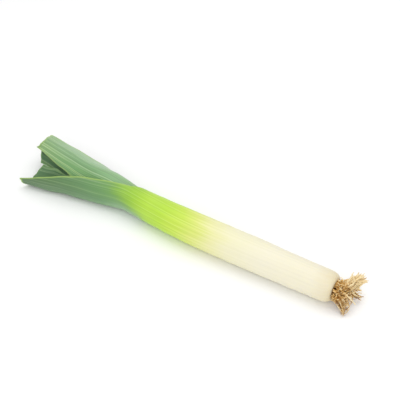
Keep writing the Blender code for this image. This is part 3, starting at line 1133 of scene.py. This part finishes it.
@dataclass(frozen=True)
class OuterLeaf(Leaf):
    """The shank's skin and the outermost leaf, which is one leaf grown on from it.

    Args:
        parting: reach past the throat and half width there, where the leaf's margins part.
        inside: how far into the shank the blade's inner face goes down.
        shoulder_rows: faces along the rounding at the root end.
        swell: height of the long and the short waves of the shank's slow unevenness.
        swell_length: how long they are.
        swell_fade: over what length they fade out below the throat.
        smooth_radius: the radius of the rounded end where they have faded out and begin to.
        smooth_height: how high off the ground they begin.
    """

    parting: tuple[tuple[float, float], ...] = ((4.0, 46.4), (13.0, 38.9))
    inside: float = 26.0
    shoulder_rows: int = 9
    swell: tuple[float, float] = (0.12, 0.072)
    swell_length: tuple[float, float] = (38.0, 19.0)
    swell_fade: float = 25.0
    smooth_radius: tuple[float, float] = (12.0, 16.0)
    smooth_height: float = 1.0

    def tube_sections(self) -> Sections:
        """The round sections of the closed shank.

        Returns:
            A section for each row, from the root end to the throat.
        """
        shank = self.fan.shank
        rim = float(shank.radius(shank.base))
        turn = np.linspace(0.0, 0.25 * FULL_TURN, self.shoulder_rows + 1)
        narrow = (rim - shank.recess_radius - shank.lip) * (1.0 - np.sin(turn))
        shoulder_x = shank.base - shank.shoulder * (1.0 - np.cos(turn))
        count = int((shoulder_x[-1] - shank.throat) / self.blank.row)
        straight_x = np.linspace(shoulder_x[-1], shank.throat, count + 1)[1:]
        x = np.concatenate([shoulder_x, straight_x])
        radius = np.concatenate([rim - narrow, shank.radius(straight_x)])
        none = np.zeros(x.shape)
        return Sections(shank.centre(x), radius, radius, none, math.pi * radius, none, none, none)

    def open_sections(self, reach: np.ndarray) -> Sections:
        """The sections past the throat, where the margins part first.

        Args:
            reach: distances past the throat.

        Returns:
            A section for each distance.
        """
        sections = self.form.sections(self.fan, reach)
        places, halves = zip((0.0, math.pi * self.form.sheath_radius(self.fan)), *self.parting)
        half = np.where(reach < places[-1], Curve(places, halves)(reach), sections.half_width)
        return replace(sections, half_width=half)

    def build(self) -> bpy.types.Object:
        """Build the piece.

        Returns:
            The piece, which stands for the shank and the first leaf.
        """
        tube = self.tube_sections()
        closed = len(tube.radius)
        row = self.blank.row
        reach = np.arange(row, self.form.cut[1] + 0.5 * row, row)
        steps = np.concatenate([self.fan.shank.throat - tube.centre[:, 0], reach])
        sections = tube.joined(self.open_sections(reach))
        faces = self.blank.faces(self.form, self.fan, sections, steps, seed=3)
        faces.slant(self.form, self.blank.ragged, closed)
        faces.outer[:closed] = self.swollen(faces, closed)
        faces.edge[:closed] = NO_EDGE

        patch = Patchwork()
        start = int(np.searchsorted(steps[:closed], -self.inside))
        outer, inner = patch.add_side(faces, inner=False), patch.add_side(faces, inner=True, first=start)
        for numbers, rows in ((outer, closed), (inner, closed - start)):
            numbers[:rows, -1] = numbers[:rows, 0]
        patch.sheet(outer)
        patch.sheet(inner, flip=True)
        patch.rim(outer[closed - 1:], inner[closed - 1 - start:])
        patch.fill(inner[0], flip=True)
        self.close_end(patch, outer[0], faces)
        return self.finished(patch, "outer_leaf", Slot.SHANK, "shank", self.form.name)

    def swollen(self, faces: Faces, closed: int) -> np.ndarray:
        """The closed shank's outer points, with the slow unevenness of grown layers.

        It stays off the flat strip, and fades out at the rounded end and where the leaves part.

        Args:
            faces: the leaf's faces.
            closed: how many of their rows make up the closed shank.

        Returns:
            The points.
        """
        place, outer = faces.place[:closed], faces.outer[:closed]
        angle = faces.across[:closed] / faces.radius
        swell = (self.swell[0] * waves(place / self.swell_length[0], 0.7 * np.cos(angle), 21)
                 + self.swell[1] * waves(place / self.swell_length[1], 0.9 * np.sin(angle), 22))
        out = (outer - self.fan.shank.centre(place[:, 0])[:, None, :]) * ASIDE
        radius = np.linalg.norm(out, axis=-1)
        narrow, wide = self.smooth_radius
        off_ground = outer[..., 2] >= self.smooth_height
        off_end = np.clip((radius.min(axis=1) - narrow) / (wide - narrow), 0.0, 1.0)[:, None]
        off_throat = np.clip((place - self.fan.shank.throat) / self.swell_fade, 0.0, 1.0)
        return outer + out * (swell * off_ground * off_end * off_throat / radius)[..., None]

    def close_end(self, patch: Patchwork, ring: np.ndarray, faces: Faces) -> None:
        """Make the hollow at the root end that the root disc sits in.

        Args:
            patch: the mesh that it goes into.
            ring: the numbers of the points at the shank's end.
            faces: the leaf's faces.
        """
        shank = self.fan.shank
        middle = shank.root_end()
        out = (faces.outer[0] - middle) * ASIDE
        out = out / np.linalg.norm(out, axis=1, keepdims=True)
        wide, deep, nearly_none = shank.recess_radius, shank.recess_depth, 0.02
        rows = [ring]
        for radius, depth in ((wide, 0.0), (wide, deep), (nearly_none, deep)):
            rows.append(patch.add(middle + out * radius - depth * ALONG, faces.grain()[0]))
            rows[-1][-1] = rows[-1][0]
        patch.sheet(rows, flip=True)
        patch.fill(rows[-1])


@dataclass(frozen=True)
class InnerLeaf(Leaf):
    """One of the leaves inside the outermost, from a little way down its sheath to its cut.

    Args:
        tucked: how far down inside the others its sheath starts.
    """

    tucked: float = 14.0

    def build(self) -> bpy.types.Object:
        """Build the piece.

        Returns:
            The piece, which stands for the leaf of the same name.
        """
        start = self.form.stations[0][0] - self.tucked
        count = int((self.form.cut[1] - start) / self.blank.row)
        reach = np.linspace(start, self.form.cut[1], count + 1)
        sections = self.form.sections(self.fan, reach)
        faces = self.blank.faces(self.form, self.fan, sections, reach, seed=11 * self.form.layer)
        faces.slant(self.form, self.blank.ragged)
        patch = Patchwork()
        outer, inner = patch.add_side(faces, inner=False), patch.add_side(faces, inner=True)
        patch.sheet(outer)
        patch.sheet(inner, flip=True)
        patch.quads(outer[0], inner[0], flip=True)
        patch.rim(outer, inner)
        return self.finished(patch, self.form.name + "_blade", Slot.BLADE, self.form.name)


@dataclass(frozen=True)
class Clump:
    """Roots that run together.

    Args:
        tip: the middle of their tips, from the middle of the root disc, in millimetres.
        count: how many there are.
        spread: how far their tips scatter.
        shortest: the shortest root against the longest.
        tone: how pale they are, from the darkest to the palest.
        lift: how far the farthest of them goes straight out before it turns.
    """

    tip: Triple
    count: int
    spread: float
    shortest: float
    tone: tuple[float, float] = (0.0, 1.0)
    lift: float = 12.0


@dataclass(frozen=True)
class RootTuft:
    """The root disc and the few hundred cut roots that grow from it, in millimetres.

    Args:
        shank: the shank that it closes.
        finish: the roots' skin.
        clumps: the long roots by the way they lie.
        scatter: how far round the disc a long root's foot is from its tip's side, in radians.
        least_out: how far out of the disc a long root's tip is at the least.
        short: how many short, curled roots cover the disc.
        short_feet: how their feet are spread: 0.5 evenly, less for more of them at the rim.
        short_length: how long the shortest and the longest of them are.
        short_curl: how far they turn, in radians.
        unruly: how far their first direction strays, and how far the side they curl to does.
        dome: how far the disc bulges.
        foot_radius: how far from the disc's middle roots grow.
        sunk: how deep their feet are in the disc.
        steps: faces along a root.
        sides: faces round a root.
        thickness: radius of a root at the disc.
        tip_share: the radius at its end against that.
        wobble: how widely a root's tip wanders.
        clear: how far the guides' points and the roots' skin stay off the ground.
        depth_shade_fading: how far from the disc's middle the painted shade deep in the tuft begins to lift
            and has lifted.
        seed: which roots to make.
    """

    shank: ShankForm
    finish: RootFinish
    clumps: tuple[Clump, ...] = (
        Clump((18.0, -15.5, -14.5), 52, 1.2, 0.45, (0.0, 0.65), 27.0),
        Clump((22.5, 28.5, 0.5), 56, 1.4, 0.6, (0.4, 1.0)),
        Clump((20.5, 22.5, 10.0), 46, 1.9, 0.65, (0.4, 1.0)),
        # Painted shade: this clump, which lies low towards the back, takes only the darker tones.
        Clump((26.0, 12.5, -9.0), 42, 1.5, 0.6, (0.0, 0.6)),
        Clump((24.5, 14.5, -2.0), 12, 1.8, 0.75, (0.1, 0.8)),
        Clump((15.0, 12.0, 14.0), 14, 2.6, 0.6, (0.4, 1.0)),
        Clump((18.0, 20.0, 15.0), 18, 2.0, 0.65, (0.4, 1.0)),
        Clump((15.0, 14.0, 19.5), 8, 2.0, 0.7, (0.5, 1.0)),
        Clump((18.0, -2.0, 0.0), 16, 3.6, 0.5),
        Clump((6.0, 8.0, 18.5), 5, 5.5, 0.8, (0.4, 1.0)))
    scatter: float = 0.9
    least_out: float = 4.0
    short: int = 170
    short_feet: float = 0.32
    short_length: tuple[float, float] = (8.0, 15.0)
    short_curl: tuple[float, float] = (1.0, 3.2)
    unruly: tuple[float, float] = (0.35, 0.8)
    dome: float = 4.0
    foot_radius: float = 10.2
    sunk: float = 0.8
    steps: int = 10
    sides: int = 5
    thickness: float = 0.5
    tip_share: float = 0.85
    wobble: float = 3.0
    clear: tuple[float, float] = (1.3, 0.4)
    depth_shade_fading: tuple[float, float] = (7.0, 18.0)
    seed: int = 63

    def guides(self) -> bpy.types.Mesh:
        """The roots' middle lines, as a mesh of edges.

        Returns:
            The mesh, with how far each point is along its root and out of the tuft, which sets the
            painted shade deep in the tuft, and the root's tone.
        """
        draw = np.random.default_rng(self.seed)
        middle = self.shank.root_end()
        lines = [(self.long_root(draw, clump), draw.uniform(*clump.tone))
                 for clump in self.clumps for _ in range(clump.count)]
        lines += [(self.short_root(draw), draw.uniform()) for _ in range(self.short)]
        points = np.stack([line for line, _ in lines])
        points[..., 2] = np.maximum(points[..., 2], self.clear[0] - middle[2])
        starts = np.arange(len(lines))[:, None] * (self.steps + 1) + np.arange(self.steps)
        mesh = bpy.data.meshes.new("root guides")
        mesh.from_pydata(((points + middle) * MM).reshape(-1, 3).tolist(),
                         np.stack([starts, starts + 1], axis=-1).reshape(-1, 2).tolist(), [])
        near, far = self.depth_shade_fading
        store(mesh, "along", np.tile(np.linspace(0.0, 1.0, self.steps + 1), len(lines)))
        store(mesh, "strand", np.repeat([tone for _, tone in lines], self.steps + 1))
        out = np.linalg.norm(points, axis=-1).reshape(-1)
        store(mesh, "outward", np.clip((out - near) / (far - near), 0.0, 1.0))
        return mesh

    def foot(self, draw: np.random.Generator, angle: float, power: float) -> tuple[np.ndarray, np.ndarray]:
        """A place on the disc for a root to grow from.

        Args:
            draw: where its chances come from.
            angle: which way it is from the disc's middle.
            power: how the feet are spread: 0.5 evenly, less for more of them at the rim.

        Returns:
            The place, and the way outwards along the disc.
        """
        share = draw.uniform(0.02, 1.0) ** power
        way = share * np.array([0.0, math.cos(angle), math.sin(angle)])
        rise = self.dome * math.sqrt(1.0 - share * share) - self.sunk
        return self.foot_radius * way + rise * ALONG, way

    def long_root(self, draw: np.random.Generator, clump: Clump) -> np.ndarray:
        """A root's line in a clump: out of the disc, then over to the clump's tip.

        Args:
            draw: where its chances come from.
            clump: the clump.

        Returns:
            Points along it.
        """
        angle = math.atan2(clump.tip[2], clump.tip[1]) + draw.normal(0.0, self.scatter)
        start, way = self.foot(draw, angle, 0.5)
        tip = np.array(clump.tip) * draw.uniform(clump.shortest, 1.0) + draw.normal(0, clump.spread, 3)
        tip[0] = max(tip[0], self.least_out)
        lift = draw.uniform(3.0, clump.lift)
        knee = start + lift * ALONG + 2.0 * way + 0.15 * (tip - start)
        t = np.linspace(0.0, 1.0, self.steps + 1)[:, None]
        return start * (1 - t) ** 2 + knee * 2 * t * (1 - t) + tip * t * t

    def short_root(self, draw: np.random.Generator) -> np.ndarray:
        """A short root's line, which curls over as it goes.

        Args:
            draw: where its chances come from.

        Returns:
            Points along it.
        """
        angle = draw.uniform(0.0, FULL_TURN)
        start, way = self.foot(draw, angle, self.short_feet)
        ahead = ALONG + 0.2 * way + draw.normal(0.0, self.unruly[0], 3)
        ahead = ahead / np.linalg.norm(ahead)
        side = np.array([0.0, math.cos(angle), math.sin(angle)]) + draw.normal(0.0, self.unruly[1], 3)
        side = side - ahead * np.dot(side, ahead)
        side = side / np.linalg.norm(side)
        curl, length = draw.uniform(*self.short_curl), draw.uniform(*self.short_length)
        turn = np.linspace(0.0, curl, self.steps)[:, None]
        steps = (ahead * np.cos(turn) + side * np.sin(turn)) * length / self.steps
        line = start + np.concatenate([np.zeros((1, 3)), np.cumsum(steps, axis=0)])
        # It keeps clear of the shank's end, and goes on only slowly past the rim.
        clearance, rim, past_rim = 0.9, 10.0, 0.25
        line[2:, 0] = np.maximum(line[2:, 0], clearance)
        off = np.linalg.norm(line[:, 1:], axis=1, keepdims=True)
        line[:, 1:] *= np.minimum(off, rim + past_rim * (off - rim)) / np.maximum(off, 1.0)
        return line

    def strand_tree(self) -> bpy.types.GeometryNodeTree:
        """The nodes that turn the middle lines into tapered, wandering roots.

        Returns:
            The tree, with its sizes as named inputs.
        """
        tree = bpy.data.node_groups.new("root strands", "GeometryNodeTree")
        for name, kind in (("Lines", "Geometry"), ("Thickness", "Float"), ("Tip Share", "Float"),
                           ("Sides", "Int"), ("Wobble", "Float"), ("Seed", "Int"), ("Skin", "Material")):
            tree.interface.new_socket(name=name, in_out="INPUT", socket_type="NodeSocket" + kind)
        tree.interface.new_socket(name="Roots", in_out="OUTPUT", socket_type="NodeSocketGeometry")
        g = Graph(tree)
        given = tree.nodes.new("NodeGroupInput").outputs
        along, strand = (
            g.node("GeometryNodeInputNamedAttribute", {"Name": name}, "Attribute", data_type="FLOAT")
            for name in ("along", "strand"))

        # Every tone of root wanders in its own way, and more towards the tip.
        own = g.math("ADD", g.product(strand, 37.0), given["Seed"])
        noise = g.node("ShaderNodeTexNoise", {"W": own, "Scale": 230.0, "Detail": 2.0}, "Color",
                       noise_dimensions="4D")
        centred = g.node("ShaderNodeVectorMath", {0: noise, 1: (0.5, 0.5, 0.5)}, operation="SUBTRACT")
        amount = g.product(given["Wobble"], g.math("POWER", along, 0.6))
        stray = g.node("ShaderNodeVectorMath", {0: centred, "Scale": amount}, operation="SCALE")
        lines = g.node("GeometryNodeSetPosition", {"Geometry": given["Lines"], "Offset": stray})

        # The paler roots are the thicker ones.
        various = g.math("ADD", g.product(strand, 0.6), 0.7)
        narrowing = g.fit(along, 0.0, 1.0, 1.0, given["Tip Share"], smooth=False)
        radius = g.product(narrowing, various, given["Thickness"])
        curves = g.node("GeometryNodeMeshToCurve", {"Mesh": lines})
        ring = g.node("GeometryNodeCurvePrimitiveCircle", {"Radius": 1.0, "Resolution": given["Sides"]})
        tubes = g.node("GeometryNodeCurveToMesh",
                       {"Curve": curves, "Profile Curve": ring, "Scale": radius, "Fill Caps": True})
        real = g.node("GeometryNodeRealizeInstances", {"Geometry": tubes})
        dressed = g.node("GeometryNodeSetMaterial", {"Geometry": real, "Material": given["Skin"]})
        g.put(dressed, tree.nodes.new("NodeGroupOutput").inputs["Roots"])
        return tree

    def build(self) -> list[bpy.types.Object]:
        """Build the roots and their disc.

        Returns:
            The two pieces.
        """
        skin = self.finish.material()
        tree = self.strand_tree()
        lines = put_in_scene("root guides", self.guides())
        modifier = lines.modifiers.new("strands", "NODES")
        modifier.node_group = tree
        values = {"Thickness": self.thickness * MM, "Tip Share": self.tip_share, "Sides": self.sides,
                  "Wobble": self.wobble * MM, "Seed": self.seed, "Skin": skin}
        for item in tree.interface.items_tree:
            if item.name in values:
                modifier[item.identifier] = values[item.name]
        evaluated = lines.evaluated_get(bpy.context.evaluated_depsgraph_get())
        mesh = bpy.data.meshes.new_from_object(evaluated)
        bpy.data.objects.remove(lines)
        mesh.shade_smooth()
        keep_above(mesh, self.clear[1] * MM)
        roots = add_piece("root_strands", mesh, ("root_tuft",))
        return [roots, self.disc(skin)]

    def disc(self, skin: bpy.types.Material) -> bpy.types.Object:
        """Build the lumpy disc that the roots grow from.

        Args:
            skin: the roots' material.

        Returns:
            The piece.
        """
        middle, recess = self.shank.root_end(), self.shank.recess_radius
        rings, sides, gap, depth = 9, 48, 0.3, 1.6
        angle = np.linspace(0.0, FULL_TURN, sides + 1)[None, :]
        share = np.linspace(1.0, 0.0, rings)[:, None]
        up, over = share * np.cos(angle), share * np.sin(angle)
        lumps = 0.35 * waves(3.0 * up, 3.0 * over, 5)
        dome = 0.2 + self.dome * np.sqrt(1.0 - share ** 2) + lumps
        out = np.stack([dome, (recess - gap) * up, (recess - gap) * over], axis=-1)
        out[-1] = out[-1].mean(axis=0)
        behind = out[0] * ASIDE - depth * ALONG
        patch = Patchwork()
        front, back = patch.add(out + middle, out), patch.add(behind + middle, behind)
        front[:, -1] = front[:, 0]
        front[-1] = front[-1, 0]
        back[-1] = back[0]
        patch.sheet(front)
        patch.quads(back, front[0])
        patch.fill(back, flip=True)
        mesh = patch.mesh("root_disc")
        places = np.array([vertex.co for vertex in mesh.vertices]) / MM - middle
        rim = np.linalg.norm(places[:, 1:], axis=1) / recess
        # It is brown like the roots' feet, and a little paler at the rim.
        for name, values in (("along", 0.0 * rim), ("outward", 0.3 * rim ** 6), ("strand", 0.2 + 0.3 * rim)):
            store(mesh, name, values)
        mesh.materials.append(skin)
        return add_piece("root_disc", mesh, ())


def keep_above(mesh: bpy.types.Mesh, height: float) -> None:
    """Press anything lower than a height up to it.

    Args:
        mesh: the mesh, which is changed.
        height: the height, in metres.
    """
    places = np.zeros(len(mesh.vertices) * 3)
    mesh.vertices.foreach_get("co", places)
    places[2::3] = np.maximum(places[2::3], height)
    mesh.vertices.foreach_set("co", places)
    mesh.update()


# --------------------------------------------------------------------------------------------
# Studio
# --------------------------------------------------------------------------------------------


@dataclass(frozen=True)
class Lamp:
    """A soft square light.

    Args:
        name: its name.
        place: where it is, in metres.
        size: the side of its square.
        power: its power in watts.
    """

    name: str
    place: Triple
    size: float
    power: float

    def build(self, aim: Vector) -> bpy.types.Object:
        """Hang the light and turn it to what it lights.

        Args:
            aim: the middle of what it lights.

        Returns:
            The light.
        """
        data = bpy.data.lights.new(self.name, "AREA")
        data.shape = "SQUARE"
        data.size = self.size
        data.energy = self.power
        lamp = put_in_scene(self.name, data)
        lamp.location = self.place
        lamp.rotation_euler = (aim - Vector(self.place)).to_track_quat("-Z", "Y").to_euler()
        return lamp


@dataclass(frozen=True)
class Studio:
    """A pale floor, soft lights and the camera.

    Args:
        azimuth: the camera's turn round the leek, in degrees.
        elevation: its height above the horizon, in degrees.
        distance: from what it aims at, in metres.
        lens: its focal length in millimetres.
        sensor: the width of its sensor in millimetres.
        aim: what it aims at, from the middle of the strip that the leek lies on.
        floor_size: side of the floor.
        floor_gap: how far the floor lies below the leek.
        sky: strength of the light from all round.
        lamps: the lights.
        lit: what the lights are turned to.
    """

    azimuth: float = 32.04
    elevation: float = 42.0
    distance: float = 1.2657
    lens: float = 100.0
    sensor: float = 36.0
    aim: Triple = (-0.0789, 0.0595, 0.0)
    floor_size: float = 6.0
    floor_gap: float = 0.0002
    sky: float = 0.70
    lamps: tuple[Lamp, ...] = (
        Lamp("key light", (0.05, 0.4, 1.55), 1.5, 9.5),
        Lamp("fill light", (0.45, -1.05, 1.0), 1.2, 6.0),
    )
    lit: Triple = (-0.05, 0.0, 0.02)

    def build(self) -> None:
        """Build the studio."""
        self.floor()
        self.camera()
        world = bpy.data.worlds.new("studio")
        world.use_nodes = True
        background = world.node_tree.nodes["Background"]
        background.inputs["Color"].default_value = (1.0, 1.0, 1.0, 1.0)
        background.inputs["Strength"].default_value = self.sky
        bpy.context.scene.world = world
        bpy.context.scene.view_settings.view_transform = "Standard"
        for lamp in self.lamps:
            lamp.build(Vector(self.lit))

    def floor(self) -> None:
        """Lay the floor, just under the height that the leek rests on."""
        half = 0.5 * self.floor_size
        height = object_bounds()[0][2] - self.floor_gap
        mesh = bpy.data.meshes.new("floor")
        square = [(-half, -half, height), (half, -half, height), (half, half, height), (-half, half, height)]
        mesh.from_pydata(square, [], [(0, 1, 2, 3)])
        mesh.materials.append(FloorFinish().material())
        floor = put_in_scene("floor", mesh)
        floor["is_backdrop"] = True

    def camera(self) -> None:
        """Set up the camera."""
        turn, rise = math.radians(self.azimuth), math.radians(self.elevation)
        back = Vector((math.sin(turn) * math.cos(rise), -math.cos(turn) * math.cos(rise), math.sin(rise)))
        right = Vector((math.cos(turn), math.sin(turn), 0.0))
        data = bpy.data.cameras.new("camera")
        data.lens = self.lens
        data.sensor_width = self.sensor
        camera = put_in_scene("camera", data)
        turned = Matrix((right, back.cross(right), back)).transposed().to_4x4()
        camera.matrix_world = Matrix.Translation(Vector(self.aim) + back * self.distance) @ turned
        bpy.context.scene.camera = camera


# --------------------------------------------------------------------------------------------
# The whole leek
# --------------------------------------------------------------------------------------------


def main() -> None:
    """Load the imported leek, dress it and set the studio round it."""
    logging.basicConfig(level=logging.INFO, format="%(name)s: %(message)s")
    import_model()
    fan = FanForm()
    Studio().build()
    OuterLeaf(LEAF_FORMS[0], fan, OUTER_SKIN, OUTER_BLANK).build()
    for form in LEAF_FORMS[1:]:
        skin = INNER_SKINS.get(form.layer, SHADED_INNER_SKIN)
        blank = INNER_BLANKS.get(form.layer, SMALL_BLANK)
        InnerLeaf(form, fan, skin.for_leaf(form), blank).build()
    RootTuft(fan.shank, RootFinish()).build()


if __name__ == "__main__":
    main()
